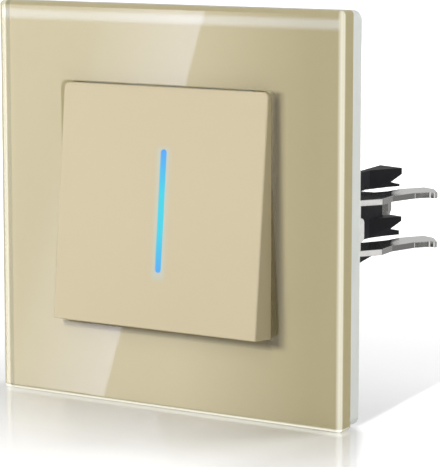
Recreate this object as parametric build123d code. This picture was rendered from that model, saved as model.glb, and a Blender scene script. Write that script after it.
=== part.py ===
"""One-gang wall light switch: glass plate, wedge rocker with a light bar, claw-fixed mechanism.

Frame: X to the right and Z up as seen from the room, Y into the wall. The origin is the centre
of the switch on the wall plane, y = 0. The front faces -Y. Millimetres.
"""
from build123d import *
import os
from math import atan2, degrees, radians, sin, tan

# Plate
plate_size = 86.0
plate_corner = 1.0
glass_thickness = 3.8
glass_edge_radius = 0.9
lacquer_thickness = 0.2
aperture = 52.4
aperture_corner = 1.7
aperture_arris = 0.2
frame_inset = 0.2
frame_depth = 4.2
frame_web = 1.4
frame_rim = 1.8
frame_corner = 2.0
frame_edge_radius = 0.4
seat_pad = 5.0
seat_pad_place = 31.0
seat_pad_root = 0.2

# Rocker
rocker_gap = 0.6
rocker_upper_corner = 1.3
rocker_lower_corner = 0.5
rocker_inner_corner = 0.8
rocker_edge_radius = 0.4
rocker_face = 2.2
rocker_skirt = 1.8
rocker_depth = 6.3
rocker_proud = 2.53
rocker_tilt = 5.6
pivot_behind_face = 5.5
light_bar_x = 0.9
light_bar_z = -0.5
light_bar_length = 26.0
light_bar_width = 1.5
light_bar_depth = 3.0
light_root_width = 3.2
light_root_overlap = 2.0
light_root_corner = 0.6

# Rocker carrier, plunger and its spring
rail_inner = 8.6
rail_outer = 16.6
rail_half_length = 12.0
rail_depth = 3.4
bridge_half = 3.0
bridge_depth = 2.9
trunnion_radius = 1.5
trunnion_length = 2.6
trunnion_root = 1.0
sleeve_radius = 3.3
sleeve_bore = 2.35
sleeve_end = 1.0
sleeve_stand = 0.6
sleeve_floor = 0.9
plunger_radius = 2.2
plunger_start = -1.5
plunger_tip = 7.6
plunger_tip_round = 1.98
spring_wire = 0.4
spring_radius = 1.7
spring_turns = 6

# Support yoke
yoke_size = 71.0
yoke_corner = 4.0
yoke_thickness = 1.2
yoke_hole_radius = 19.5
fixing_pitch = 60.0
fixing_slot_radius = 2.1
fixing_slot_length = 7.0
side_slot_x = 29.5
side_slot_z = 20.0
side_slot_radius = 1.7
side_slot_length = 8.0
bead_width = 2.4
bead_length = 24.0
bead_place = 26.0
bead_depth = 0.3

# Mechanism housing
body_half_x = 21.5
body_half_z = 22.5
body_cut = 6.0
body_depth = 30.0
body_wall = 2.0
shelf = 2.0
neck_bore = 17.3
cover_thickness = 2.2
cover_chamfer = 0.5
rear_cover_thickness = 2.2
rear_cover_step = 0.25
rear_cover_chamfer = 0.6
entry_field_depth = 0.6
entry_field_half_x = 14.0
entry_field_half_z = 4.2
entry_collar = 2.9
field_corner = 1.0
centre_field_half_x = 7.0
centre_field_half_z = 6.5
centre_field_depth = 0.3
groove_pitch = 3.2
groove_width = 1.2
groove_depth = 0.5
groove_start = 5.0
groove_end = 16.0
side_groove_z = 11.0
screw_place = 16.8
screw_radius = 1.3
screw_head_radius = 2.3
screw_head_height = 1.4
screw_grip = 1.2
screw_end_gap = 0.2
drive_width = 0.7
drive_depth = 0.6
boss_radius = 2.8
ear_thickness = 2.4
ear_half = 4.0
ear_top_radius = 2.9
ear_root = 0.2

# Light source behind the light bar
board_half_x = 7.0
board_half_z = 16.0
board_thickness = 1.0
led_pitch = 9.0
led_size = 2.6
led_height = 0.9
resistor_place = 5.0
resistor_width = 1.6
resistor_length = 3.2
resistor_height = 0.6

# Contacts
seesaw_half_length = 11.0
seesaw_width = 5.0
seesaw_thickness = 0.8
seesaw_tilt = 6.0
seesaw_gap = 0.4
tip_radius = 1.6
tip_height = 0.7
tip_place = 9.4
strip_thickness = 1.0
strip_width = 4.0
fulcrum_radius = 1.2
fulcrum_stand = 0.2

# Terminals
terminal_inset_x = 12.0
terminal_inset_z = 7.5
terminal_size = 7.0
terminal_start = 18.0
terminal_length = 10.0
wire_hole_radius = 1.6
wire_hole_depth = 8.0
terminal_screw_radius = 1.5
terminal_screw_head = 2.2
terminal_head_height = 2.0
terminal_drive_depth = 0.8

# Spreading claws. The plan points are measured from the pin, across and along the folded arm
claw_z = -4.2
claw_pivot_stand = 4.5
claw_pivot_y = 10.0
claw_pin_radius = 1.2
claw_splay = 26.7
claw_arm_pitch = 10.8
claw_sheet = 1.3
claw_eye_radius = 3.1
claw_corner_radius = 0.6
claw_edge_radius = 0.15
arm_outer_edge = ((3.1, 0.6), (5.6, 6.0), (6.3, 13.4), (3.4, 18.0), (1.8, 25.0), (2.4, 28.6))
arm_end = ((4.3, 29.4), (-1.4, 32.6), (-5.2, 32.6))
arm_inner_edge = ((-5.6, 26.5), (-3.8, 21.5), (-3.8, 1.5), (-2.7, 0.0))
lug_start = 2.4
lug_outer = 7.6
lug_inner = 1.5
lug_slot_inner = 1.4
lug_slot_outer = 7.0
lug_slot_half = 2.1
web_outer = 5.6
web_start = 6.6
web_end = 8.2
tongue_end = 9.1
tongue_half = 2.6
tongue_drop = 0.4
tongue_corner = 1.0
tab_start = 2.7
tab_length = 2.0
tab_chamfer = 1.0
tab_drop = 2.5
tab_root = 0.4
claw_screw_reach = 5.0
claw_screw_radius = 1.75
claw_screw_head = 3.2
claw_screw_head_height = 1.3
claw_screw_end = 14.0
claw_drive_width = 0.8
claw_screw_point = 0.5
claw_spring_stand = 0.6
claw_spring_gap = 0.3
claw_spring_turns = 8
claw_spring_wire = 0.5

# Claw guides, the ribbed blocks beside the housing
guide_cheek = 2.0
guide_flare = 3.7
guide_flare_start = 31.0
guide_rear = 39.0
guide_back_stand = 3.4
guide_back_y = 41.2
guide_inner_rear = 35.0
guide_top = 6.1
guide_bottom = -13.9
guide_front = 1.0
guide_mid_front = 14.8
guide_mid_rear = 37.2
guide_foot_bend = 26.0
guide_foot_rear = 33.1
guide_foot_rear_z = -12.85
guide_pitch = 10.8
guide_step = 1.5
guide_step_wall = 1.5
guide_step_rear = 29.5
guide_skin = 0.2
notch_depth = 2.4
notch_lip = 1.4
notch_apex = 3.0
notch_floor = 3.6
lower_notch_raise = 0.4
bevel_depth = 0.7
bevel_height = 1.5
bevel_slope = 18.8
pin_top = 4.6

# Clearances
rub = 0.3
run = 0.06
slip = 0.15
claw_slide = 0.1
pin_seat = 0.02

# How far a cut runs past the face that it breaks through
overcut = 1.0

# Derived planes and axes
rocker_size = aperture - 2 * rocker_gap
terminal_x = body_half_x - terminal_inset_x
terminal_z = body_half_z - terminal_inset_z
claw_pivot_x = body_half_x + claw_pivot_stand
claw_screw_x = claw_pivot_x + claw_screw_reach
guide_outer = claw_pivot_x + guide_cheek
guide_flare_x = guide_outer + guide_flare
guide_back_x = body_half_x + guide_back_stand
frame_front = -frame_depth
glass_back = frame_front - lacquer_thickness
glass_front = glass_back - glass_thickness
face_y = glass_front - rocker_proud
pivot_y = face_y + pivot_behind_face
rocker_back = face_y + rocker_depth
rail_front = face_y + rocker_face
yoke_front = -yoke_thickness
cover_front = yoke_front - cover_thickness
board_front = cover_front - board_thickness
body_rear = body_depth
cover_rear = body_rear + rear_cover_thickness
seesaw_y = plunger_tip + seesaw_gap + seesaw_thickness / 2
terminal_middle = terminal_start + terminal_length / 2
arm_levels = (claw_z + claw_arm_pitch / 2, claw_z - claw_arm_pitch / 2)
fixed_tip_y = seesaw_y + tip_place * sin(radians(seesaw_tilt)) + seesaw_thickness / 2 + tip_height


def span(x0, x1, y0, y1, z0, z1):
    """A box between two corners."""
    middle = Pos((x0 + x1) / 2, (y0 + y1) / 2, (z0 + z1) / 2)
    return middle * Box(x1 - x0, y1 - y0, z1 - z0)


def slab(outline, y0, y1):
    """An outline drawn in X and Z, made solid from y0 back to y1."""
    return Pos(0, y1, 0) * Rot(90, 0, 0) * extrude(outline, y1 - y0)


def rod_x(radius, x0, x1, y, z):
    return Pos((x0 + x1) / 2, y, z) * Rot(0, 90, 0) * Cylinder(radius, x1 - x0)


def rod_y(radius, x, z, y0, y1):
    return Pos(x, (y0 + y1) / 2, z) * Rot(90, 0, 0) * Cylinder(radius, y1 - y0)


def rod_z(radius, x, y, z0, z1):
    return Pos(x, y, (z0 + z1) / 2) * Cylinder(radius, z1 - z0)


def edges_at(shape, y):
    """The edges that lie in the plane at y."""
    return shape.edges().filter_by(lambda edge: all(abs((edge @ t).Y - y) < 1e-4 for t in (0, 0.5, 1)))


def polygon(*points):
    return make_face(Polyline(*points, close=True))


def corners(place_x, place_z):
    return [(sx * place_x, sz * place_z) for sx in (-1, 1) for sz in (-1, 1)]


def tilt_rocker(shape):
    """Neutral rocker parts swung so that the lower edge stands out from the plate."""
    pivot = Pos(0, pivot_y, 0)
    return pivot * Rot(-rocker_tilt, 0, 0) * Pos(0, -pivot_y, 0) * shape


def mirror_x(shape):
    return mirror(shape, Plane.YZ)


# Plate pieces

def make_glass_panel():
    panel = slab(RectangleRounded(plate_size, plate_size, plate_corner), glass_front, glass_back)
    front = edges_at(panel, glass_front)
    panel = fillet(front, glass_edge_radius)
    hole = slab(RectangleRounded(aperture, aperture, aperture_corner),
                glass_front - overcut, glass_back + overcut)
    panel = panel - hole
    rim = edges_at(panel, glass_front)
    inner = rim.filter_by(lambda edge: abs(edge.center().X) < plate_size / 2 - glass_edge_radius * 2
                          and abs(edge.center().Z) < plate_size / 2 - glass_edge_radius * 2)
    return chamfer(inner, aperture_arris)


def make_gold_lacquer():
    outline = RectangleRounded(plate_size, plate_size, plate_corner)
    outline = outline - RectangleRounded(aperture, aperture, aperture_corner)
    return slab(outline, glass_back, frame_front)


def make_plate_frame():
    size = plate_size - 2 * frame_inset
    frame = slab(RectangleRounded(size, size, frame_corner), frame_front, 0)
    back = edges_at(frame, 0)
    frame = fillet(back, frame_edge_radius)
    inside = size - 2 * frame_rim
    frame = frame - slab(RectangleRounded(inside, inside, frame_corner), frame_front + frame_web, overcut)
    frame = frame - slab(RectangleRounded(aperture, aperture, aperture_corner),
                         frame_front - overcut, overcut)
    web_back = frame_front + frame_web
    for x, z in corners(seat_pad_place, seat_pad_place):
        frame = frame + rod_y(seat_pad / 2, x, z, web_back - seat_pad_root, yoke_front)
    return frame


# Rocker and what rides on it

def light_bar_outline():
    return Pos(light_bar_x, light_bar_z) * SlotOverall(light_bar_length, light_bar_width, rotation=90)


def make_rocker():
    outline = Rectangle(rocker_size, rocker_size)
    outline = fillet(outline.vertices().group_by(Axis.Y)[-1], rocker_upper_corner)
    outline = fillet(outline.vertices().group_by(Axis.Y)[0], rocker_lower_corner)
    shell = slab(outline, face_y, rocker_back)
    front = edges_at(shell, face_y)
    shell = fillet(front, rocker_edge_radius)
    inside = rocker_size - 2 * rocker_skirt
    hollow = RectangleRounded(inside, inside, rocker_inner_corner)
    shell = shell - slab(hollow, face_y + rocker_face, rocker_back + overcut)
    slot = slab(light_bar_outline(), face_y - overcut, rocker_back)
    return tilt_rocker(shell - slot)


def make_light_bar():
    bar = slab(light_bar_outline(), face_y, rail_front)
    root = RectangleRounded(light_root_width, light_bar_length + light_root_overlap,
                            light_root_corner)
    root = slab(Pos(light_bar_x, light_bar_z) * root, rail_front, face_y + light_bar_depth)
    return tilt_rocker(bar + root)


def make_rocker_carrier():
    carrier = span(-rail_outer, rail_outer, rail_front, rail_front + bridge_depth,
                   -bridge_half, bridge_half)
    for side in (-1, 1):
        x0, x1 = sorted((side * rail_inner, side * rail_outer))
        rail = span(x0, x1, rail_front, rail_front + rail_depth, -rail_half_length, rail_half_length)
        carrier = carrier + rail
        t0, t1 = sorted((side * (rail_outer - trunnion_root), side * (rail_outer + trunnion_length)))
        carrier = carrier + rod_x(trunnion_radius, t0, t1, pivot_y, 0)
    carrier = carrier + rod_y(sleeve_radius, 0, 0, face_y + light_bar_depth + sleeve_stand, sleeve_end)
    root_half = light_root_width / 2 + slip
    root_back = face_y + light_bar_depth + slip
    carrier = carrier - span(light_bar_x - root_half, light_bar_x + root_half,
                             rail_front - overcut, root_back, -rail_half_length, rail_half_length)
    carrier = carrier - rod_y(sleeve_bore, 0, 0, root_back + sleeve_floor, sleeve_end + overcut)
    return tilt_rocker(carrier)


def make_plunger():
    stem = rod_y(plunger_radius, 0, 0, plunger_start, plunger_tip)
    tip = edges_at(stem, plunger_tip)
    return tilt_rocker(fillet(tip, plunger_tip_round))


def make_plunger_spring():
    start = face_y + light_bar_depth + slip + sleeve_floor + spring_wire / 2
    length = plunger_start - start - spring_wire / 2
    path = Helix(pitch=length / spring_turns, height=length, radius=spring_radius)
    section = Plane(origin=path @ 0, z_dir=path % 0) * Circle(spring_wire / 2)
    coil = sweep(section, path=path)
    return tilt_rocker(Pos(0, start + length, 0) * Rot(90, 0, 0) * coil)


# Fixed structure

def make_support_yoke():
    outline = RectangleRounded(yoke_size, yoke_size, yoke_corner) - Circle(yoke_hole_radius)
    for sz in (-1, 1):
        slot = SlotOverall(fixing_slot_length, 2 * fixing_slot_radius, rotation=90)
        outline = outline - Pos(0, sz * fixing_pitch / 2) * slot
    for x, z in corners(screw_place, screw_place):
        outline = outline - Pos(x, z) * Circle(screw_radius + slip)
    for x, z in corners(side_slot_x, side_slot_z):
        outline = outline - Pos(x, z) * SlotOverall(side_slot_length, 2 * side_slot_radius, rotation=90)
    for side in (-1, 1):
        outline = outline - Pos(side * claw_screw_x, claw_z) * Circle(claw_screw_radius + 2 * slip)
    yoke = slab(outline, yoke_front, 0)
    for side in (-1, 1):
        bead = Pos(0, side * bead_place) * SlotOverall(bead_length, bead_width)
        yoke = yoke - slab(bead, -bead_depth, overcut)
    return yoke


def housing_outline(shrink=0.0):
    """The housing's eight-sided outline, drawn in X and Z."""
    x = body_half_x - shrink
    z = body_half_z - shrink
    cut = body_cut - shrink * (2 - 2 ** 0.5)
    return polygon((x - cut, z), (x, z - cut), (x, cut - z), (x - cut, -z),
                   (cut - x, -z), (-x, cut - z), (-x, z - cut), (cut - x, z))


def make_mechanism_body():
    body = slab(housing_outline(), 0, body_rear)
    body = body + rod_y(yoke_hole_radius - slip, 0, 0, yoke_front, shelf)
    body = body - rod_y(neck_bore, 0, 0, yoke_front - overcut, shelf + overcut)
    cavity = slab(housing_outline(body_wall), shelf, body_rear + overcut)
    for x, z in corners(screw_place, screw_place):
        cavity = cavity - rod_y(boss_radius, x, z, 0, body_rear)
    body = body - cavity
    for x, z in corners(screw_place, screw_place):
        body = body - rod_y(screw_radius + slip, x, z, -overcut, body_rear + overcut)
    for x, z in corners(terminal_x, terminal_z):
        z0, z1 = sorted((z, (body_half_z + overcut) * (1 if z > 0 else -1)))
        body = body - rod_z(terminal_screw_head + slip, x, terminal_middle, z0, z1)
    for step in (-2, -1, 0, 1, 2):
        middle = step * groove_pitch
        for end in (-1, 1):
            z0, z1 = sorted((end * (body_half_z - groove_depth), end * (body_half_z + overcut)))
            body = body - span(middle - groove_width / 2, middle + groove_width / 2,
                               groove_start, groove_end, z0, z1)
    for step in (-1, 0, 1):
        middle = side_groove_z + step * groove_pitch
        for side in (-1, 1):
            x0, x1 = sorted((side * (body_half_x - groove_depth), side * (body_half_x + overcut)))
            body = body - span(x0, x1, groove_start, body_rear - groove_start,
                               middle - groove_width / 2, middle + groove_width / 2)
    return body


def make_rear_cover():
    cover = slab(housing_outline(rear_cover_step), body_rear, cover_rear)
    edge = edges_at(cover, cover_rear)
    cover = chamfer(edge, rear_cover_chamfer)
    for end in (-1, 1):
        field = RectangleRounded(2 * entry_field_half_x, 2 * entry_field_half_z, field_corner)
        for side in (-1, 1):
            field = field - Pos(side * terminal_x, 0) * Circle(entry_collar)
        field = Pos(0, end * terminal_z) * field
        cover = cover - slab(field, cover_rear - entry_field_depth, cover_rear + overcut)
    centre = RectangleRounded(2 * centre_field_half_x, 2 * centre_field_half_z, field_corner)
    cover = cover - slab(centre, cover_rear - centre_field_depth, cover_rear + overcut)
    for x, z in corners(terminal_x, terminal_z):
        cover = cover - rod_y(wire_hole_radius, x, z, body_rear - overcut, cover_rear + overcut)
    for x, z in corners(screw_place, screw_place):
        cover = cover - rod_y(screw_radius + slip, x, z, body_rear - overcut,
                              body_rear + screw_grip + screw_end_gap)
    return cover


def make_mechanism_cover():
    cover = slab(housing_outline(), cover_front, yoke_front)
    edge = edges_at(cover, cover_front)
    cover = chamfer(edge, cover_chamfer)
    ear_x = rail_outer + rub
    for side in (-1, 1):
        x0, x1 = sorted((side * ear_x, side * (ear_x + ear_thickness)))
        ear = span(x0, x1, pivot_y, cover_front + ear_root, -ear_half, ear_half)
        ear = ear + rod_x(ear_top_radius, x0, x1, pivot_y, 0)
        cover = cover + ear - rod_x(trunnion_radius + run, x0 - overcut, x1 + overcut, pivot_y, 0)
    swing = (sleeve_end - pivot_y) * tan(radians(rocker_tilt))
    cover = cover - rod_y(sleeve_radius + swing + rub, 0, 0, cover_front - overcut, yoke_front + overcut)
    for x, z in corners(screw_place, screw_place):
        cover = cover - rod_y(screw_radius + slip, x, z, cover_front - overcut, yoke_front + overcut)
    return cover


def make_housing_screws():
    screws = []
    for x, z in corners(screw_place, screw_place):
        head = rod_y(screw_head_radius, x, z, cover_front - screw_head_height, cover_front)
        head_front = cover_front - screw_head_height
        head = head - span(x - drive_width / 2, x + drive_width / 2,
                           head_front - overcut, head_front + drive_depth,
                           z - 2 * screw_head_radius, z + 2 * screw_head_radius)
        screws.append(head + rod_y(screw_radius, x, z, cover_front, body_rear + screw_grip))
    return Compound(screws)


# Light source

def make_led_board():
    board = span(-board_half_x, board_half_x, board_front, cover_front, -board_half_z, board_half_z)
    swing = (cover_front - pivot_y) * tan(radians(rocker_tilt))
    return board - rod_y(sleeve_radius + swing + rub, 0, 0, board_front - overcut, cover_front + overcut)


def make_leds():
    half = led_size / 2
    leds = []
    for z in (light_bar_z - led_pitch, light_bar_z + led_pitch):
        leds.append(span(light_bar_x - half, light_bar_x + half, board_front - led_height, board_front,
                         z - half, z + half))
    return Compound(leds)


def make_led_resistors():
    chips = []
    for z in (-led_pitch, led_pitch):
        chips.append(span(resistor_place - resistor_width / 2, resistor_place + resistor_width / 2,
                          board_front - resistor_height, board_front,
                          z - resistor_length / 2, z + resistor_length / 2))
    return Compound(chips)


# Contacts

def make_contact_seesaw():
    bar = span(-seesaw_width / 2, seesaw_width / 2, seesaw_y - seesaw_thickness / 2,
               seesaw_y + seesaw_thickness / 2, -seesaw_half_length, seesaw_half_length)
    return tilt_seesaw(bar)


def tilt_seesaw(shape):
    return Pos(0, seesaw_y, 0) * Rot(seesaw_tilt, 0, 0) * Pos(0, -seesaw_y, 0) * shape


def make_moving_contact_tips():
    back = seesaw_y + seesaw_thickness / 2
    tips = [tilt_seesaw(rod_y(tip_radius, 0, z, back, back + tip_height - rub / 2))
            for z in (-tip_place, tip_place)]
    return Compound(tips)


def make_common_terminal():
    """Strip with a rounded ridge under the seesaw, running to the upper right terminal."""
    ridge_y = seesaw_y + seesaw_thickness / 2 + rub / 2 + fulcrum_radius
    strip_y = ridge_y + fulcrum_stand
    strip = rod_x(fulcrum_radius, -seesaw_width / 2, seesaw_width / 2, ridge_y, 0)
    half = strip_width / 2
    strip = strip + span(-seesaw_width / 2, terminal_x + half, strip_y, strip_y + strip_thickness,
                         -half, half)
    strip = strip + span(terminal_x - half, terminal_x + half, strip_y, strip_y + strip_thickness,
                         -half, terminal_z)
    return strip + span(terminal_x - half, terminal_x + half, strip_y, terminal_start,
                        terminal_z - strip_thickness, terminal_z)


def make_switched_terminal(lower):
    """Strip under one end of the seesaw, running to one terminal on the left or right."""
    side, z = (-1, -tip_place) if lower else (-1, tip_place)
    strip_y = fixed_tip_y + tip_height
    half = strip_width / 2
    x0, x1 = sorted((side * (terminal_x + half), half))
    strip = span(x0, x1, strip_y, strip_y + strip_thickness, z - half, z + half)
    z_edge = terminal_z * (-1 if lower else 1)
    z0, z1 = sorted((z, z_edge))
    strip = strip + span(x0, x0 + strip_width, strip_y, strip_y + strip_thickness, z0, z1)
    z0, z1 = sorted((z_edge, z_edge + (strip_thickness if lower else -strip_thickness)))
    return strip + span(x0, x0 + strip_width, strip_y, terminal_start, z0, z1)


def make_fixed_contact_tips():
    return Compound([rod_y(tip_radius, 0, z, fixed_tip_y, fixed_tip_y + tip_height)
                     for z in (-tip_place, tip_place)])


def make_terminal_blocks():
    half = terminal_size / 2
    blocks = []
    for x, z in corners(terminal_x, terminal_z):
        block = span(x - half, x + half, terminal_start, terminal_start + terminal_length,
                     z - half, z + half)
        block_rear = terminal_start + terminal_length
        block = block - rod_y(wire_hole_radius + slip, x, z,
                              block_rear - wire_hole_depth, block_rear + overcut)
        z0, z1 = sorted((z, z + (half + overcut) * (1 if z > 0 else -1)))
        blocks.append(block - rod_z(terminal_screw_radius + run, x, terminal_middle, z0, z1))
    return Compound(blocks)


def make_terminal_screws():
    screws = []
    half = terminal_size / 2
    for x, z in corners(terminal_x, terminal_z):
        up = 1 if z > 0 else -1
        seat = z + up * half
        z0, z1 = sorted((z + up * wire_hole_radius, seat))
        shank = rod_z(terminal_screw_radius, x, terminal_middle, z0, z1)
        top = seat + up * terminal_head_height
        z0, z1 = sorted((seat, top))
        head = rod_z(terminal_screw_head, x, terminal_middle, z0, z1)
        cut0, cut1 = sorted((top - up * terminal_drive_depth, top + up * overcut))
        head = head - span(x - drive_width / 2, x + drive_width / 2,
                           terminal_middle - 2 * terminal_screw_head,
                           terminal_middle + 2 * terminal_screw_head, cut0, cut1)
        screws.append(shank + head)
    return Compound(screws)


# Claws, drawn for the right side in their folded place about the pin, then swung out

def swing_claw(shape):
    return Pos(claw_pivot_x, claw_pivot_y, 0) * Rot(0, 0, -claw_splay) * shape


def arm_outline():
    """One claw arm in plan: an eye round the pin, a waisted outer edge and a slanted blunt end."""
    finger = polygon(*arm_outer_edge, *arm_end, *arm_inner_edge)
    beyond_lug = finger.vertices().filter_by(lambda vertex: vertex.Y > lug_start + claw_sheet)
    finger = fillet(beyond_lug, claw_corner_radius)
    return finger + Circle(claw_eye_radius)


def make_claw():
    """Two arms joined by the slotted lug and by a web that carries a short tongue."""
    upper, lower = arm_levels
    arm = extrude(arm_outline(), claw_sheet)
    rims = arm.edges().group_by(Axis.Z)
    arm = fillet(rims[0] + rims[-1], claw_edge_radius)
    claw = Pos(0, 0, upper - claw_sheet / 2) * arm + Pos(0, 0, lower - claw_sheet / 2) * arm
    claw = claw + span(-lug_inner, lug_outer, lug_start, lug_start + claw_sheet, lower, upper)
    claw = claw - span(lug_slot_inner, lug_slot_outer, lug_start - overcut, lug_start + claw_sheet + overcut,
                       claw_z - lug_slot_half, claw_z + lug_slot_half)
    claw = claw + span(web_outer - claw_sheet, web_outer, web_start, web_end, lower, upper)
    middle = claw_z - tongue_drop
    tongue = span(web_outer - claw_sheet, web_outer, web_start, tongue_end,
                  middle - tongue_half, middle + tongue_half)
    tongue_tips = tongue.edges().filter_by(Axis.X).filter_by_position(Axis.Y, tongue_end, tongue_end)
    tongue = fillet(tongue_tips, tongue_corner)
    claw = claw + tongue
    (u0, v0), (u1, v1) = arm_outer_edge[2], arm_outer_edge[3]
    slant = ((u1 - u0) ** 2 + (v1 - v0) ** 2) ** 0.5
    along = ((u1 - u0) / slant, (v1 - v0) / slant)
    edge = [(u0 + along[0] * t, v0 + along[1] * t) for t in (tab_start, tab_start + tab_length)]
    inward = [(u - along[1] * claw_sheet, v + along[0] * claw_sheet) for u, v in reversed(edge)]
    tab = Pos(0, 0, upper - claw_sheet / 2 - tab_drop) * extrude(polygon(*edge, *inward),
                                                                 tab_drop + tab_root)
    rear_corner = tab.edges().group_by(Axis.Z)[0].sort_by(Axis.Y)[-1]
    claw = claw + chamfer(rear_corner, tab_chamfer)
    claw = claw - rod_z(claw_pin_radius + run, 0, 0, guide_bottom, guide_top)
    return swing_claw(claw)


def make_claw_pin():
    return rod_z(claw_pin_radius, claw_pivot_x, claw_pivot_y, guide_bottom + guide_skin, pin_top)


def make_claw_spring():
    inner = claw_arm_pitch / 2 - claw_sheet / 2 - rub
    radius = claw_pin_radius + claw_spring_stand
    height = 2 * (inner - claw_spring_gap)
    path = Helix(pitch=height / claw_spring_turns, height=height, radius=radius)
    section = Plane(origin=path @ 0, z_dir=path % 0) * Circle(claw_spring_wire / 2)
    coil = sweep(section, path=path)
    return Pos(claw_pivot_x, claw_pivot_y, claw_z - height / 2) * coil


def make_claw_screw():
    head_y = yoke_front - claw_screw_head_height
    screw = rod_y(claw_screw_head, claw_screw_x, claw_z, head_y, yoke_front)
    screw = screw - span(claw_screw_x - claw_drive_width / 2, claw_screw_x + claw_drive_width / 2,
                         head_y - overcut, head_y + drive_depth,
                         claw_z - 2 * claw_screw_head, claw_z + 2 * claw_screw_head)
    shank = rod_y(claw_screw_radius, claw_screw_x, claw_z, yoke_front, claw_screw_end)
    end = edges_at(shank, claw_screw_end)
    return screw + chamfer(end, claw_screw_point)


def rib_pair(top, bottom, front, notch_raise=0.0):
    """Two stacked ribs that flare out behind the claw, parted at the rear by a notch."""
    plan = polygon((body_half_x, front), (guide_outer, front), (guide_outer, guide_flare_start),
                   (guide_flare_x, guide_rear), (guide_back_x, guide_back_y),
                   (body_half_x, guide_inner_rear))
    ribs = Pos(0, 0, bottom) * extrude(plan, top - bottom)
    notch_top = top + notch_raise
    beyond = guide_rear + notch_depth
    wedge = polygon((guide_rear - notch_depth, notch_top - notch_apex),
                    (guide_rear, notch_top - notch_lip), (beyond, notch_top - notch_lip),
                    (beyond, notch_top - notch_floor), (guide_rear, notch_top - notch_floor))
    ribs = ribs - Pos(body_half_x - overcut, 0, 0) * extrude(Plane.YZ * wedge, guide_flare_x)
    return ribs - flare_bevel(notch_top - notch_lip, top - bottom)


def flare_bevel(level, height):
    """The space under a bevel that runs from the notch down along the flare to the ribs' lower edge."""
    flare_angle = degrees(atan2(guide_flare_x - guide_outer, guide_rear - guide_flare_start))
    beyond = bevel_height / bevel_depth
    section = polygon((1, beyond), (-bevel_depth, -bevel_height), (-bevel_depth, -2 * height),
                      (1, -2 * height))
    run_out = height / tan(radians(bevel_slope))
    space = Rot(bevel_slope, 0, 0) * slab(section, -run_out, notch_depth)
    return Pos(guide_flare_x, guide_rear, level) * Rot(0, 0, -flare_angle) * space


def make_claw_guide():
    slot = claw_sheet / 2 + claw_slide
    upper_floor = arm_levels[0] + slot
    mid_top = arm_levels[0] - slot
    mid_floor = arm_levels[1] + slot
    lower_top = arm_levels[1] - slot
    guide = rib_pair(guide_top, upper_floor, guide_front)
    step_outer = guide_outer - guide_step_wall
    step = polygon((body_half_x - overcut, guide_front - overcut), (step_outer, guide_front - overcut),
                   (step_outer, guide_step_rear), (guide_back_x, guide_back_y + 2 * overcut),
                   (body_half_x - overcut, guide_back_y + 2 * overcut))
    guide = guide - Pos(0, 0, guide_top - guide_step) * extrude(step, 2 * guide_step)
    guide = guide + span(body_half_x, guide_outer, guide_mid_front, guide_mid_rear, mid_floor, mid_top)
    guide = guide + rib_pair(guide_top - guide_pitch, mid_floor, guide_mid_front, lower_notch_raise)
    foot = polygon((guide_front, guide_bottom), (guide_foot_bend, guide_bottom),
                   (guide_foot_rear, guide_foot_rear_z), (guide_foot_rear, lower_top),
                   (guide_front, lower_top))
    guide = guide + Pos(body_half_x, 0, 0) * extrude(Plane.YZ * foot, guide_outer - body_half_x)
    skin = span(body_half_x, body_half_x + guide_skin, guide_front, body_rear, guide_bottom,
                guide_top - guide_step)
    pin_hole = rod_z(claw_pin_radius + pin_seat, claw_pivot_x, claw_pivot_y,
                     guide_bottom + guide_skin, pin_top)
    return guide + skin - pin_hole


pieces = {
    "glass_panel": make_glass_panel,
    "gold_lacquer": make_gold_lacquer,
    "plate_frame": make_plate_frame,
    "rocker": make_rocker,
    "light_bar": make_light_bar,
    "rocker_carrier": make_rocker_carrier,
    "plunger": make_plunger,
    "plunger_spring": make_plunger_spring,
    "support_yoke": make_support_yoke,
    "mechanism_body": make_mechanism_body,
    "rear_cover": make_rear_cover,
    "mechanism_cover": make_mechanism_cover,
    "housing_screws": make_housing_screws,
    "led_board": make_led_board,
    "leds": make_leds,
    "led_resistors": make_led_resistors,
    "contact_seesaw": make_contact_seesaw,
    "moving_contact_tips": make_moving_contact_tips,
    "common_terminal": make_common_terminal,
    "upper_switched_terminal": lambda: make_switched_terminal(False),
    "lower_switched_terminal": lambda: make_switched_terminal(True),
    "fixed_contact_tips": make_fixed_contact_tips,
    "terminal_blocks": make_terminal_blocks,
    "terminal_screws": make_terminal_screws,
}

claw_pieces = {
    "claw": make_claw,
    "claw_pin": make_claw_pin,
    "claw_spring": make_claw_spring,
    "claw_screw": make_claw_screw,
    "claw_guide": make_claw_guide,
}

os.makedirs("parts", exist_ok=True)
for name, make in pieces.items():
    export_step(make(), f"parts/{name}.step")
for name, make in claw_pieces.items():
    right = make()
    export_step(right, f"parts/{name}_right.step")
    export_step(mirror_x(right), f"parts/{name}_left.step")
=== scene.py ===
"""Looks of the glass light switch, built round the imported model.

Metres, in the CAD frame: X to the right and Z up as seen from the room, Y into the wall. The
plate's front faces -Y.
"""

from math import cos, pi, radians, sin

import bpy
import numpy as np
from mathutils import Matrix, Vector


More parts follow.
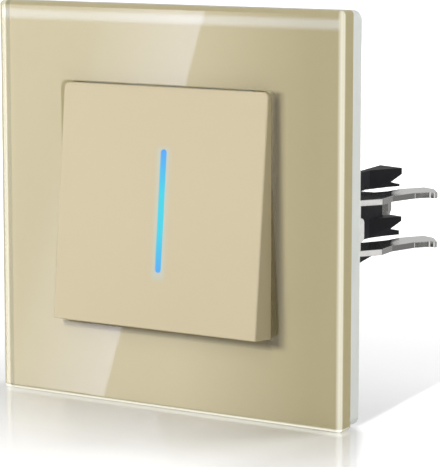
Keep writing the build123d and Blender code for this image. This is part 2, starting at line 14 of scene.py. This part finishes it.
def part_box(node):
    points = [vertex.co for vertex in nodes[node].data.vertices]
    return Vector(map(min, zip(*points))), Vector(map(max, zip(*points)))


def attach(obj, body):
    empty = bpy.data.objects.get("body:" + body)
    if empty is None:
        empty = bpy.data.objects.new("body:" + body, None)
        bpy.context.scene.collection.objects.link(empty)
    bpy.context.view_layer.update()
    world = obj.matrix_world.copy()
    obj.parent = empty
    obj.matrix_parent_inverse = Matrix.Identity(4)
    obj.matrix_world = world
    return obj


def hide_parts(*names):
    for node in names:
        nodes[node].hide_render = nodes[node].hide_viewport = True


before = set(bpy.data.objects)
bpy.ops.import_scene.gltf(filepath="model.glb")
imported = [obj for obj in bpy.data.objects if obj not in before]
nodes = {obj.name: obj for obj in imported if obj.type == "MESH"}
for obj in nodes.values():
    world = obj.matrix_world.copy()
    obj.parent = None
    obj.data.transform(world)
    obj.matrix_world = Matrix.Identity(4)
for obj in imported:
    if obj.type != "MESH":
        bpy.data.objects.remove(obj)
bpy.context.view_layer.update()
scene = bpy.context.scene
MM = 0.001

# Camera, fitted to the plate's edges in the photograph
image_height = 467
focal_pixels = 2337.97
camera_azimuth = radians(32.085)
camera_elevation = radians(8.463)
camera_distance = 486.64 * MM
camera_target = Vector((13.853, -8.039, -4.019)) * MM

# Sizes that the new pieces share with the model
aperture_half = 26.2 * MM
aperture_corner = 1.7 * MM
arris = 0.2 * MM
plate_corner = 1.0 * MM
edge_radius = 0.9 * MM
edge_steps = 11
corner_steps = 12
sharp_angle = radians(30)
edge_crease = 0.04 * MM
lacquer_sink = 0.02 * MM
back_arris = 0.12 * MM
light_bar_x = 0.9 * MM
light_bar_z = -0.5 * MM
light_bar_half = 13.0 * MM
light_bar_half_width = 0.75 * MM
plate_low, plate_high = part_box("glass_panel")
plate_half, glass_back = plate_high[:2]
plate_front, plate_foot = plate_low[1:]


def put_in_scene(name, data):
    """An object at the origin, unturned and unscaled."""
    thing = bpy.data.objects.new(name, data)
    scene.collection.objects.link(thing)
    return thing


def aimed(place, aim):
    """The place and turn of a lamp or camera that stands at place and looks at aim."""
    facing = (aim - place).to_track_quat("-Z", "Y")
    return Matrix.Translation(place) @ facing.to_matrix().to_4x4()


# Meshes

def rounded_square(half, radius):
    """Points of a square with rounded corners in X and Z: four quarter circles round the corner
    centres, joined by straight sides."""
    turn = np.linspace(0, pi / 2, corner_steps)
    quarter = np.arange(4)[:, None] * pi / 2
    angle = turn[None, :] + quarter
    centre = (half - radius) * np.sqrt(2.0)
    x = centre * np.cos(quarter + pi / 4) + radius * np.cos(angle)
    z = centre * np.sin(quarter + pi / 4) + radius * np.sin(angle)
    return np.stack([x.ravel(), z.ravel()], axis=1)


def closed_section(name, loops, material):
    """A ring-shaped solid: the section's loops, each a closed outline at a depth y, follow one
    another round the section and the last joins the first."""
    points = np.stack([np.column_stack([o[:, 0], np.full(len(o), y), o[:, 1]]) for o, y in loops])
    rings, around = points.shape[:2]
    i, j = np.meshgrid(np.arange(rings), np.arange(around), indexing="ij")
    i2, j2 = (i + 1) % rings, (j + 1) % around
    quads = np.stack([i * around + j, i * around + j2, i2 * around + j2, i2 * around + j], axis=-1)
    quads = quads.reshape(-1, 4)
    flat = points.reshape(-1, 3)
    a, b, c, d = (flat[quads[:, k]] for k in range(4))
    volume = (a * (np.cross(b, c) + np.cross(c, d))).sum()
    if volume < 0:
        quads = quads[:, ::-1]
    mesh = bpy.data.meshes.new(name)
    mesh.from_pydata(flat.tolist(), [], quads.tolist())
    mesh.shade_smooth()
    mesh.set_sharp_from_angle(angle=sharp_angle)
    mesh.materials.append(material)
    return put_in_scene(name, mesh)


def flat_sheet(name, corners, material):
    """One flat face through four corners."""
    mesh = bpy.data.meshes.new(name)
    mesh.from_pydata(corners.tolist(), [], [(0, 1, 2, 3)])
    mesh.materials.append(material)
    return put_in_scene(name, mesh)


# Materials

white = (1.0, 1.0, 1.0, 1.0)
no_light = (0.0, 0.0, 0.0, 1.0)


class Graph:
    """A node tree with short calls for the nodes that these finishes and the room use."""

    def __init__(self, owner):
        owner.use_nodes = True
        self.nodes = owner.node_tree.nodes
        self.links = owner.node_tree.links

    def add(self, kind, inputs=None, **settings):
        node = self.nodes.new(kind)
        for key, value in settings.items():
            setattr(node, key, value)
        for key, value in (inputs or {}).items():
            self.feed(value, node.inputs[key])
        return node

    def feed(self, value, socket):
        if isinstance(value, bpy.types.NodeSocket):
            self.links.new(value, socket)
        else:
            socket.default_value = value

    def place(self):
        return self.add("ShaderNodeTexCoord").outputs["Object"]

    def axes(self, vector):
        split = self.add("ShaderNodeSeparateXYZ", {0: vector})
        return [split.outputs[k] for k in range(3)]

    def calc(self, operation, *values):
        node = self.add("ShaderNodeMath", operation=operation)
        for k, value in enumerate(values):
            self.feed(value, node.inputs[k])
        return node.outputs[0]

    def chain(self, operation, values):
        result, *others = values
        for value in others:
            result = self.calc(operation, result, value)
        return result

    def plus(self, *values):
        return self.chain("ADD", values)

    def times(self, *values):
        return self.chain("MULTIPLY", values)

    def most(self, *values):
        return self.chain("MAXIMUM", values)

    def minus(self, first, second):
        return self.calc("SUBTRACT", first, second)

    def length(self, across, along):
        return self.calc("SQRT", self.plus(self.times(across, across), self.times(along, along)))

    def between(self, value, span, low=0.0, high=1.0, smooth=False):
        """low at the span's first end, high at its second, and held past both."""
        node = self.add("ShaderNodeMapRange", {0: value, 1: span[0], 2: span[1], 3: low, 4: high})
        if smooth:
            node.interpolation_type = "SMOOTHSTEP"
        return node.outputs[0]

    def fade(self, value, span, full=1.0, smooth=False):
        return self.between(value, span, full, 0.0, smooth)

    def noise(self, scale, detail, roughness=0.5, vector=None):
        node = self.add("ShaderNodeTexNoise", {"Vector": vector or self.place(), "Scale": scale,
                                               "Detail": detail, "Roughness": roughness})
        return node.outputs["Fac"]

    def blend(self, share, first, second):
        node = self.add("ShaderNodeMix", data_type="RGBA")
        self.feed(share, node.inputs[0])
        self.feed(first, node.inputs[6])
        self.feed(second, node.inputs[7])
        return node.outputs[2]

    def mix(self, share, first, second):
        """Two shaders mixed."""
        return self.add("ShaderNodeMixShader", {0: share, 1: first, 2: second}).outputs[0]

    def stack(self, first, second):
        """Two shaders added."""
        return self.add("ShaderNodeAddShader", {0: first, 1: second}).outputs[0]


class Finish(Graph):
    """The node tree of a material, with its main shader."""

    def __init__(self, name):
        self.material = bpy.data.materials.new(name)
        super().__init__(self.material)
        self.shader = self.nodes["Principled BSDF"]
        self.output = self.nodes["Material Output"]

    def set(self, **values):
        for key, value in values.items():
            self.feed(value, self.shader.inputs[key.replace("_", " ")])
        return self

    def bump(self, height, strength, distance):
        node = self.add("ShaderNodeBump", {"Height": height, "Strength": strength,
                                           "Distance": distance})
        self.feed(node.outputs[0], self.shader.inputs["Normal"])
        return self

    def show(self, shader):
        self.feed(shader, self.output.inputs["Surface"])
        return self.material


def color(red, green, blue):
    """A colour written as it shows on screen, 0 to 255, as linear values."""
    shown = np.array([red, green, blue]) / 255.0
    linear = np.where(shown <= 0.04045, shown / 12.92, ((shown + 0.055) / 1.055) ** 2.4)
    return (*linear.tolist(), 1.0)


# Plain finishes: noise scales per metre, the middle part of the noise that is used, and how far
# tone and roughness swing
noise_middle = (0.3, 0.7)
plastic_tone_scale = 90.0
plastic_darker = 0.92
plastic_lighter = 1.10
plastic_lift = 0.002
plastic_gloss_scale = 700.0
plastic_gloss_swing = (-0.05, 0.06)
plastic_grain_strength = 0.35
metal_cloud_scale = 160.0
metal_duller = 0.9
metal_gloss_swing = (0.8, 1.3)
metal_mark_strength = 0.15
metal_mark_depth = 0.02 * MM


def toned(base, factor, lift=0.0):
    return (*[min(1.0, v * factor + lift) for v in base[:3]], 1.0)


def moulded_plastic(name, base, roughness, grain, grain_depth, gloss=0.5):
    """Moulded plastic: a slow change of tone, an uneven gloss and a fine spark-eroded grain."""
    g = Finish(name)
    tone = g.noise(plastic_tone_scale, detail=2.0)
    darker = toned(base, plastic_darker)
    lighter = toned(base, plastic_lighter, plastic_lift)
    uneven = g.noise(plastic_gloss_scale, detail=2.0)
    least, most = (roughness + swing for swing in plastic_gloss_swing)
    g.set(Base_Color=g.blend(tone, darker, lighter), Specular_IOR_Level=gloss,
          Roughness=g.between(uneven, noise_middle, least, most))
    return g.bump(g.noise(grain, detail=2.0), plastic_grain_strength, grain_depth)


def plated_metal(name, base, roughness, streaks):
    """Plated metal: fine rolling marks along one direction and a slightly uneven gloss. streaks
    is the marks' scale along X, Y and Z."""
    g = Finish(name)
    along_marks = g.add("ShaderNodeMapping", {"Vector": g.place(), "Scale": streaks}).outputs[0]
    marks = g.noise(1.0, detail=4.0, roughness=0.6, vector=along_marks)
    cloud = g.noise(metal_cloud_scale, detail=3.0)
    least, most = (roughness * swing for swing in metal_gloss_swing)
    g.set(Base_Color=g.blend(cloud, toned(base, metal_duller), base), Metallic=1.0,
          Roughness=g.between(marks, noise_middle, least, most))
    return g.bump(marks, metal_mark_strength, metal_mark_depth)


def flaked_paint(g, flake_scale, cloud_scale, flake_share, darker, lighter):
    """A very fine metallic flake over a slow change of tone: the flake and the paint's colour."""
    flake = g.noise(flake_scale, detail=1.0)
    cloud = g.noise(cloud_scale, detail=2.0)
    tone = g.plus(g.times(flake, flake_share), g.times(cloud, 1 - flake_share))
    return flake, g.blend(tone, darker, lighter)


# Light and shade painted into the glass: highlights painted along its edges as emission, a dark
# band painted near its left edge and shade painted round the opening. Insets are measured in from
# the plate's edge, depths back from its front, and reaches out from the opening. Each pair gives
# where a change begins and ends.
right_line_inset = (1.35 * MM, 0.55 * MM)
right_line_depth = (0.55 * MM, 0.95 * MM)
right_line_light = 0.40
lower_line_inset = (0.80 * MM, 0.42 * MM)
lower_line_end = (0.03 * MM, 0.18 * MM)
lower_line_light = 0.55
side_face_inset = (0.30 * MM, 0.10 * MM)
left_line_rise = (0.40 * MM, 1.00 * MM)
left_line_rise_from = 0.15
left_line_fall = (1.65 * MM, 2.00 * MM)
left_line_light = 0.27
line_depth = (0.85 * MM, 1.20 * MM)
painted_highlight_color = (0.95, 1.0, 1.0, 1.0)
# A dark band painted near the left edge, as painted shade.
painted_band_inset = 2.50 * MM
painted_band_half_width = (0.35 * MM, 0.60 * MM)
long_way_inset = (0.02 * MM, 0.08 * MM)
clear_tint = (0.985, 0.995, 0.985, 1.0)
long_way_tint = (0.76, 0.86, 0.79, 1.0)
painted_band_tint = (0.55, 0.58, 0.60, 1.0)
shade_tint = (0.05, 0.02, 0.0, 1.0)
through_tint = (0.93, 0.95, 0.93, 1.0)
shade_start = (-0.3 * MM, -0.1 * MM)
shade_end = (0.0, 1.2 * MM)
right_shade_reach = (1.8 * MM, 3.7 * MM)
right_shade = 0.80
right_shade_top = (-0.5 * MM, 0.3 * MM)
lower_shade_reach = (0.4 * MM, 1.6 * MM)
lower_shade = 0.74
lower_shade_left = (0.5 * MM, 0.0)
corner_shade_start = (-1.8 * MM, -1.5 * MM)
corner_shade_reach = (0.0, 0.4 * MM)
corner_shade = 0.80


def painted_edge_highlights(g, x, y, z):
    """Highlights painted as bright lines along the right, lower and left edges."""
    depth = g.minus(y, plate_front)
    from_right = g.minus(plate_half, x)
    from_left = g.plus(x, plate_half)
    from_below = g.plus(z, plate_half)
    rounding = g.fade(depth, line_depth)
    right = g.times(g.between(from_right, right_line_inset), g.fade(depth, right_line_depth))
    lower = g.times(g.between(from_below, lower_line_inset), g.between(from_below, lower_line_end),
                    g.most(rounding, g.between(from_right, side_face_inset)))
    left = g.times(g.between(from_left, left_line_rise, left_line_rise_from),
                   g.fade(from_left, left_line_fall), rounding)
    return g.plus(g.times(right, right_line_light), g.times(lower, lower_line_light),
                  g.times(left, left_line_light))


def opening_shade(g, x, z):
    """The shade painted on the glass beside and below the opening, joined round its lower right
    corner.
    """
    past_right = g.minus(x, aperture_half)
    past_left = g.minus(g.times(x, -1.0), aperture_half)
    past_top = g.minus(z, aperture_half)
    past_bottom = g.minus(g.times(z, -1.0), aperture_half)
    right = g.times(g.fade(past_right, right_shade_reach, right_shade),
                    g.fade(past_bottom, shade_end), g.between(past_right, shade_start),
                    g.fade(past_top, right_shade_top))
    lower = g.times(g.fade(past_bottom, lower_shade_reach, lower_shade),
                    g.fade(past_right, shade_end), g.between(past_bottom, shade_start),
                    g.between(past_left, lower_shade_left))
    corner = g.times(g.between(past_right, corner_shade_start, 0.0, corner_shade),
                     g.between(past_bottom, corner_shade_start),
                     g.fade(g.most(past_right, past_bottom), corner_shade_reach))
    return g.most(right, lower, corner)


def glass_material():
    """Clear float glass, with highlights painted along its edges as emission, and a dark band near
    its left edge and shade round the opening painted into its colour. The light of the lamps and
    the room that falls on the lacquer passes straight through it."""
    g = Finish("clear_glass")
    x, y, z = g.axes(g.place())
    from_left = g.plus(x, plate_half)
    from_below = g.plus(z, plate_half)
    long_way = g.most(g.fade(from_left, long_way_inset), g.fade(from_below, long_way_inset))
    # Painted shade: a grey band near the left edge, darkening the glass's colour.
    painted_dark_band = g.fade(g.calc("ABSOLUTE", g.minus(from_left, painted_band_inset)), painted_band_half_width)
    tint = g.blend(long_way, clear_tint, long_way_tint)
    tint = g.blend(painted_dark_band, tint, painted_band_tint)
    # Shade painted round the opening in the glass's colour.
    g.set(Base_Color=g.blend(opening_shade(g, x, z), tint, shade_tint))
    g.set(Roughness=0.0, IOR=1.5, Transmission_Weight=1.0)
    # Painted highlights: the bright edge lines shine as emission.
    lines = g.blend(painted_edge_highlights(g, x, y, z), no_light, painted_highlight_color)
    g.set(Emission_Color=lines, Emission_Strength=1.0)
    through = g.add("ShaderNodeBsdfTransparent", {"Color": through_tint}).outputs[0]
    path = g.add("ShaderNodeLightPath").outputs
    shader = g.mix(path["Is Shadow Ray"], g.shader.outputs[0], through)
    return g.show(g.mix(path["Is Diffuse Ray"], shader, through))


def lacquer_material():
    """Champagne gold lacquer."""
    g = Finish("gold_lacquer")
    flake, paint = flaked_paint(g, flake_scale=5200.0, cloud_scale=40.0, flake_share=0.5,
                                darker=color(187, 173, 135), lighter=color(190, 176, 138))
    g.set(Base_Color=paint, Specular_IOR_Level=0.0,
          Roughness=g.between(flake, noise_middle, low=0.45, high=0.50))
    return g.material


# The light bar's glow, painted onto the rocker's colour round the bar.
painted_glow_reach = (0.0, 1.6 * MM)
painted_glow_share = 0.30
painted_glow_color = color(190, 225, 235)
flake_strength = 0.06
flake_height = 0.01 * MM


def rocker_material():
    """Champagne satin paint on plastic, with the pale glow that the light bar gives round it
    painted into its colour.
    """
    g = Finish("champagne_plastic")
    x, _, z = g.axes(g.place())
    # Painted light: the bar's glow, as a paler tint round the slot.
    across = g.minus(g.calc("ABSOLUTE", g.minus(x, light_bar_x)), light_bar_half_width)
    along = g.minus(g.calc("ABSOLUTE", g.minus(z, light_bar_z)), light_bar_half)
    away = g.length(g.most(across, 0.0), g.most(along, 0.0))
    glow = g.times(g.fade(away, painted_glow_reach, smooth=True), painted_glow_share)
    flake, paint = flaked_paint(g, flake_scale=4200.0, cloud_scale=45.0, flake_share=0.6,
                                darker=color(211, 198, 165), lighter=color(216, 203, 171))
    g.set(Base_Color=g.blend(glow, paint, painted_glow_color), Specular_IOR_Level=0.25,
          Roughness=g.between(flake, noise_middle, low=0.48, high=0.54))
    g.bump(flake, flake_strength, flake_height)
    return g.material


guide_color = color(70, 212, 232)
bluer_from = 4.0 * MM
bluer_color = color(88, 162, 245)
paler_from = 0.35 * MM
paler_share = 0.5
paler_color = color(120, 195, 215)


def light_bar_material():
    """Clear guide lit from behind: cyan in the middle, bluer towards both ends, paler at its
    sides."""
    g = Finish("light_guide")
    x, _, z = g.axes(g.place())
    along = g.calc("ABSOLUTE", g.minus(z, light_bar_z))
    across = g.calc("ABSOLUTE", g.minus(x, light_bar_x))
    end = g.between(along, (bluer_from, light_bar_half))
    side = g.between(across, (paler_from, light_bar_half_width), 0.0, paler_share)
    shown = g.blend(side, g.blend(end, guide_color, bluer_color), paler_color)
    g.set(Base_Color=(0.01, 0.04, 0.05, 1.0), Roughness=0.35, Specular_IOR_Level=0.1,
          Emission_Color=shown, Emission_Strength=0.95)
    return g.material


def frame_material():
    """Milky white plastic that lets a little light in."""
    g = moulded_plastic("white_plastic", color(226, 229, 224), roughness=0.35, grain=2600.0,
                        grain_depth=0.01 * MM)
    g.set(Subsurface_Weight=0.25, Subsurface_Radius=(1.0, 1.0, 0.9), Subsurface_Scale=0.8 * MM)
    return g.material


# Material's name, colour, roughness, and the marks' scale along X, Y and Z
metals = {
    "nickel": ("nickel_steel", (0.80, 0.79, 0.77, 1.0), 0.16, (900.0, 60.0, 900.0)),
    "zinc": ("zinc_steel", (0.62, 0.63, 0.65, 1.0), 0.34, (300.0, 300.0, 40.0)),
    "spring": ("spring_steel", (0.56, 0.56, 0.57, 1.0), 0.28, (600.0, 600.0, 600.0)),
    "brass": ("contact_brass", (0.75, 0.56, 0.26, 1.0), 0.24, (50.0, 600.0, 600.0)),
    "silver": ("contact_silver", (0.83, 0.81, 0.78, 1.0), 0.22, (500.0, 500.0, 500.0)),
}
# Material's name, colour, roughness, the grain's scale and depth, and how shiny black is
plastics = {
    "black": ("black_plastic", color(46, 46, 49), 0.55, 2400.0, 0.03 * MM, 0.15),
    "carrier": ("carrier_plastic", color(225, 225, 218), 0.45, 2400.0, 0.02 * MM),
    "laminate": ("board_laminate", color(38, 112, 62), 0.38, 1500.0, 0.02 * MM),
    "ceramic": ("resistor_ceramic", color(34, 34, 36), 0.5, 3000.0, 0.01 * MM),
}
metal = {key: plated_metal(*made).material for key, made in metals.items()}
plastic = {key: moulded_plastic(*made).material for key, made in plastics.items()}
resin = Finish("led_resin")
resin.set(Base_Color=(0.30, 0.55, 0.75, 1.0), Roughness=0.2,
          Emission_Color=(0.25, 0.65, 1.0, 1.0), Emission_Strength=1.0)

finishes = {
    "gold_lacquer": lacquer_material(),
    "plate_frame": frame_material(),
    "rocker": rocker_material(),
    "light_bar": light_bar_material(),
    "rocker_carrier": plastic["carrier"],
    "plunger": plastic["carrier"],
    "plunger_spring": metal["spring"],
    "support_yoke": metal["zinc"],
    "mechanism_body": plastic["black"],
    "rear_cover": plastic["black"],
    "mechanism_cover": plastic["black"],
    "housing_screws": metal["zinc"],
    "led_board": plastic["laminate"],
    "leds": resin.material,
    "led_resistors": plastic["ceramic"],
    "contact_seesaw": metal["brass"],
    "moving_contact_tips": metal["silver"],
    "common_terminal": metal["brass"],
    "upper_switched_terminal": metal["brass"],
    "lower_switched_terminal": metal["brass"],
    "fixed_contact_tips": metal["silver"],
    "terminal_blocks": metal["brass"],
    "terminal_screws": metal["zinc"],
}
for side in ("right", "left"):
    finishes[f"claw_{side}"] = metal["nickel"]
    finishes[f"claw_pin_{side}"] = metal["spring"]
    finishes[f"claw_spring_{side}"] = metal["spring"]
    finishes[f"claw_screw_{side}"] = metal["zinc"]
    finishes[f"claw_guide_{side}"] = plastic["black"]

for name, finish in finishes.items():
    for slot in nodes[name].material_slots:
        slot.material = finish


# The glass plate, made again with smooth rounded edges and its back sunk a hair into the lacquer

def make_glass():
    """Outlines that run from the back of the opening over its arris, across the front, round the
    edge on a quarter circle and down the side to the back."""
    back = glass_back + lacquer_sink
    inside = plate_half - edge_radius
    round_corner = plate_corner - edge_radius
    loops = [
        (rounded_square(aperture_half, aperture_corner), back),
        (rounded_square(aperture_half, aperture_corner), plate_front + arris),
        (rounded_square(aperture_half + arris, aperture_corner + arris), plate_front),
        (rounded_square(aperture_half + arris + edge_crease, aperture_corner + arris), plate_front),
        (rounded_square(inside - edge_crease, round_corner), plate_front),
    ]
    for turn in np.linspace(0, pi / 2, edge_steps):
        out = edge_radius * sin(turn)
        loops.append((rounded_square(inside + out, round_corner + out),
                      plate_front + edge_radius * (1 - cos(turn))))
    loops += [
        (rounded_square(plate_half, plate_corner), back - back_arris),
        (rounded_square(plate_half - back_arris, plate_corner), back),
    ]
    return closed_section("glass_plate", loops, glass_material())


glass = make_glass()
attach(glass, "housing")
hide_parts("glass_panel")


# The room: floor, reflected light panel, lamps and surroundings

# Floor: how it mirrors and how far it is lifted towards white, by place in metres, with painted
# shade in front of the plate and a painted shadow behind it
mirror_front = (-0.070, -0.008)
mirror_behind = (0.0, 0.06)
mirror_share = 0.38
lift_reach = (0.15, 0.60)
lift_near = 0.35
front_reach = (-0.050, -0.008)
front_lift = (0.13, -0.09)
front_right_x = (0.015, 0.043)
front_right_lift = (0.04, 0.22)
front_right_y = (-0.10, -0.04)
front_end_x = (0.043, 0.065)
front_end_y = (-0.005, 0.0)
painted_shadow_reach = (0.005, 0.10)
painted_shadow_depth = (0.11, 0.05)
painted_shadow_end = (0.08, 0.16)
painted_shadow_slope = 0.10
painted_shadow_edge = (-0.0015, 0.0005)
painted_shadow_start = (-0.001, 0.0005)
open_slope = 0.445
open_edge = (-0.001, 0.001)
open_reach = (0.04, 0.16)
open_lift = 0.45


def floor_lift(g, x, y):
    """How far the floor is lifted: more with distance, lower close in front of the plate as painted
    shade, least in a shadow of the plate painted behind it, which spreads from its right corner,
    and raised in the open to the right, painted light that lifts out the lamps' shadow there."""
    lift = g.between(g.length(x, y), lift_reach, lift_near, 1.0)
    # Painted shade close in front of the plate.
    right = g.times(g.between(x, front_right_x, *front_right_lift), g.between(y, front_right_y))
    front = g.minus(g.between(y, front_reach, *front_lift), right)
    front = g.times(front, g.fade(x, front_end_x, smooth=True))
    lift = g.plus(lift, g.times(front, g.fade(y, front_end_y)))
    past_corner = g.minus(x, plate_half)
    reach = g.length(past_corner, y)
    line = g.plus(past_corner, g.times(y, painted_shadow_slope))
    # A shadow of the plate painted on the floor, spreading back from its right corner.
    shadow = g.times(g.between(reach, painted_shadow_reach, *painted_shadow_depth), g.fade(reach, painted_shadow_end),
                     g.fade(line, painted_shadow_edge), g.between(y, painted_shadow_start))
    # Painted light that lifts the lamps' shadow out of the open to the right of the corner.
    open_line = g.plus(line, g.times(g.calc("MINIMUM", y, 0.0), open_slope))
    opened = g.times(g.between(open_line, open_edge), g.fade(reach, open_reach, open_lift))
    return g.plus(g.minus(lift, shadow), opened)


def floor_material():
    """White floor that mirrors the plate close to it and keeps the lamps' shadows, with painted
    shade and a painted shadow of the plate in its lift. The camera and mirrors see it lifted to
    white."""
    g = Finish("studio_floor")
    x, y, _ = g.axes(g.place())
    g.set(Base_Color=(0.92, 0.92, 0.92, 1.0), Roughness=0.9, Specular_IOR_Level=0.0)
    mirror = g.add("ShaderNodeBsdfGlossy", {"Color": white, "Roughness": 0.02}).outputs[0]
    share = g.times(g.between(y, mirror_front, 0.0, mirror_share, smooth=True),
                    g.fade(y, mirror_behind, smooth=True))
    path = g.add("ShaderNodeLightPath").outputs
    seen = g.most(path["Is Camera Ray"], path["Is Glossy Ray"], path["Is Transmission Ray"])
    lift = g.add("ShaderNodeEmission", {"Color": white,
                                        "Strength": g.times(seen, floor_lift(g, x, y))})
    return g.show(g.mix(share, g.stack(g.shader.outputs[0], lift.outputs[0]), mirror))


floor_reach = 5.0
floor_gap = 0.03 * MM
floor_level = plate_foot - floor_gap
floor_square = floor_reach * np.array([[-1, -1], [1, -1], [1, 1], [-1, 1]])
floor_corners = np.column_stack([floor_square, np.full(4, floor_level)])
floor = flat_sheet("studio_floor", floor_corners, floor_material())
floor.visible_glossy = False


def camera_place():
    """The camera stands off its target along its azimuth and elevation."""
    direction = Vector((sin(camera_azimuth) * cos(camera_elevation),
                        -cos(camera_azimuth) * cos(camera_elevation), sin(camera_elevation)))
    return camera_target + direction * camera_distance


# Panel that the glass mirrors, written for the spot on the plate that mirrors it
even_x = (4 * MM, 36 * MM)
even_light = (4.4, 4.1, 3.4)
# Painted shade in the panel, where the rocker would block its reflection beside the opening.
painted_shade_reach = (1.2 * MM, 3.2 * MM)
painted_shade_end = (-0.5 * MM, 0.3 * MM)
painted_shade_share = 0.75
painted_shade_lower = 1.4 * MM
gloss_slope = 0.31
gloss_offset = -2.8 * MM
gloss_rise = (-29 * MM, -1 * MM)
gloss_cut = (-0.4 * MM, 0.4 * MM)
gloss_light = (2.7, 2.9, 4.2)
band_rise = (38.6 * MM, 40.0 * MM)
band_fall = (40.6 * MM, 41.8 * MM)
band_light = (3.6, 4.3, 5.8)
panel_standing = 0.10
panel_strength = 8.0


def panel_material(reach):
    """Light panel that only mirrors see: an even part that falls off to the right and that is cut
    beside the opening, a shade painted into the panel where the rocker would stand in the way of
    its reflection, a gloss with a slanted straight edge, and a band along the top."""
    g = Finish("light_panel")
    x, _, z = g.axes(g.place())
    camera = camera_place()
    x = g.calc("DIVIDE", g.plus(x, reach * camera.x), 1 + reach)
    z = g.calc("DIVIDE", g.plus(z, reach * camera.z), 1 + reach)
    left, down = g.times(x, -1.0), g.times(z, -1.0)
    # Painted shade: the even light is cut where the glass beside the opening mirrors the panel.
    past = g.most(g.minus(x, aperture_half), g.minus(down, aperture_half - painted_shade_lower))
    inside = g.most(g.minus(z, aperture_half), g.minus(left, aperture_half))
    painted_shade = g.times(g.fade(past, painted_shade_reach, painted_shade_share), g.fade(inside, painted_shade_end))
    even = g.times(g.fade(x, even_x), g.minus(1.0, painted_shade))
    slant = g.minus(x, g.plus(g.times(z, gloss_slope), gloss_offset))
    gloss = g.times(g.between(slant, gloss_rise), g.fade(slant, gloss_cut))
    band = g.times(g.between(z, band_rise, smooth=True), g.fade(z, band_fall, smooth=True))
    total = g.add("ShaderNodeBsdfTransparent").outputs[0]
    clear = total
    for amount, light in ((even, even_light), (gloss, gloss_light), (band, band_light)):
        tint = (*[v / panel_strength for v in light], 1.0)
        strength = g.times(amount, panel_strength)
        part = g.add("ShaderNodeEmission", {"Color": tint, "Strength": strength})
        total = g.stack(total, part.outputs[0])
    back = g.add("ShaderNodeNewGeometry").outputs["Backfacing"]
    return g.show(g.mix(back, total, clear))


def make_panel():
    """The panel stands parallel to the plate, in front and to the left, sized by mirroring the
    plate's corners from the camera."""
    camera = camera_place()
    reach = panel_standing / (plate_front - camera.y)
    y = plate_front - panel_standing
    square = plate_half * np.array([[-1, 1], [1, 1], [1, -1], [-1, -1]])
    x, z = (square + reach * (square - np.array([camera.x, camera.z]))).T
    corners = np.column_stack([x, np.full(4, y), z])
    panel = flat_sheet("light_panel", corners, panel_material(reach))
    for kind in ("camera", "diffuse", "transmission", "volume_scatter", "shadow"):
        setattr(panel, f"visible_{kind}", False)


make_panel()


def lamp(name, place, aim, width, height, share):
    """Soft lamp. share is how bright it makes a white surface that faces it at its aim."""
    data = bpy.data.lights.new(name, "AREA")
    data.shape = "RECTANGLE"
    data.size = width
    data.size_y = height
    place, aim = Vector(place), Vector(aim)
    data.energy = share * pi ** 2 * (aim - place).length_squared
    light = put_in_scene(name, data)
    light.matrix_world = aimed(place, aim)
    light.visible_glossy = False


# Name, place, aim, width, height and share of each lamp
lamps = (
    ("key_left", (-0.40, -1.21, 0.34), (0, 0, 0), 0.22, 0.20, 0.36),
    ("strip_front", (0.12, -1.14, 0.61), (0, 0, 0), 0.05, 0.40, 0.16),
    ("side_right", (1.1, -0.35, 0.45), (0, 0, 0), 0.5, 0.7, 0.04),
    ("back_right", (0.6, 0.9, 0.5), (0.03, 0, 0), 0.6, 0.6, 0.80),
    ("back_left", (-0.8, 0.6, 0.5), (-0.03, 0, 0), 0.6, 0.6, 0.30),
)
for made in lamps:
    lamp(*made)

room_light = 0.25
# What shiny pieces mirror: turn about Z from +X, in degrees, and how bright the room is there
room_mirrored = [(-180, 1.0), (-45, 1.0), (-32, 0.08), (-7.5, 0.08), (-4.5, 1.0), (8, 1.0),
                 (20, 0.22), (45, 0.22), (65, 0.33), (85, 0.35), (95, 0.58), (150, 0.62),
                 (165, 1.0)]


def room():
    """White all round for the camera and through glass, even for lighting, and in light and dark
    upright strips for mirrors."""
    scene.world = bpy.data.worlds.new("studio")
    g = Graph(scene.world)
    path = g.add("ShaderNodeLightPath").outputs
    seen = g.most(path["Is Camera Ray"], path["Is Transmission Ray"])
    x, y, _ = g.axes(g.add("ShaderNodeTexCoord").outputs["Generated"])
    ramp = g.add("ShaderNodeValToRGB", {0: g.between(g.calc("ARCTAN2", y, x), (-pi, pi))})
    stops = ramp.color_ramp.elements
    for k, (angle, level) in enumerate(room_mirrored):
        place = (angle + 180) / 360
        stop = stops[k] if k < len(stops) else stops.new(place)
        stop.position = place
        stop.color = (level, level, level, 1.0)
    plain = g.between(seen, (0.0, 1.0), room_light, 1.0)
    level = g.add("ShaderNodeMix", {0: path["Is Glossy Ray"], 2: plain, 3: ramp.outputs[0]})
    background = g.nodes["Background"]
    g.feed(level.outputs[0], background.inputs["Strength"])
    g.feed(white, background.inputs["Color"])


room()

camera_data = bpy.data.cameras.new("photo_camera")
camera_data.sensor_width = 36.0
camera_data.lens = focal_pixels * camera_data.sensor_width / image_height
camera_data.clip_start = 0.01
camera_data.clip_end = 50.0
camera = put_in_scene("photo_camera", camera_data)
camera.matrix_world = aimed(camera_place(), camera_target)
scene.camera = camera
scene.view_settings.view_transform = "Standard"
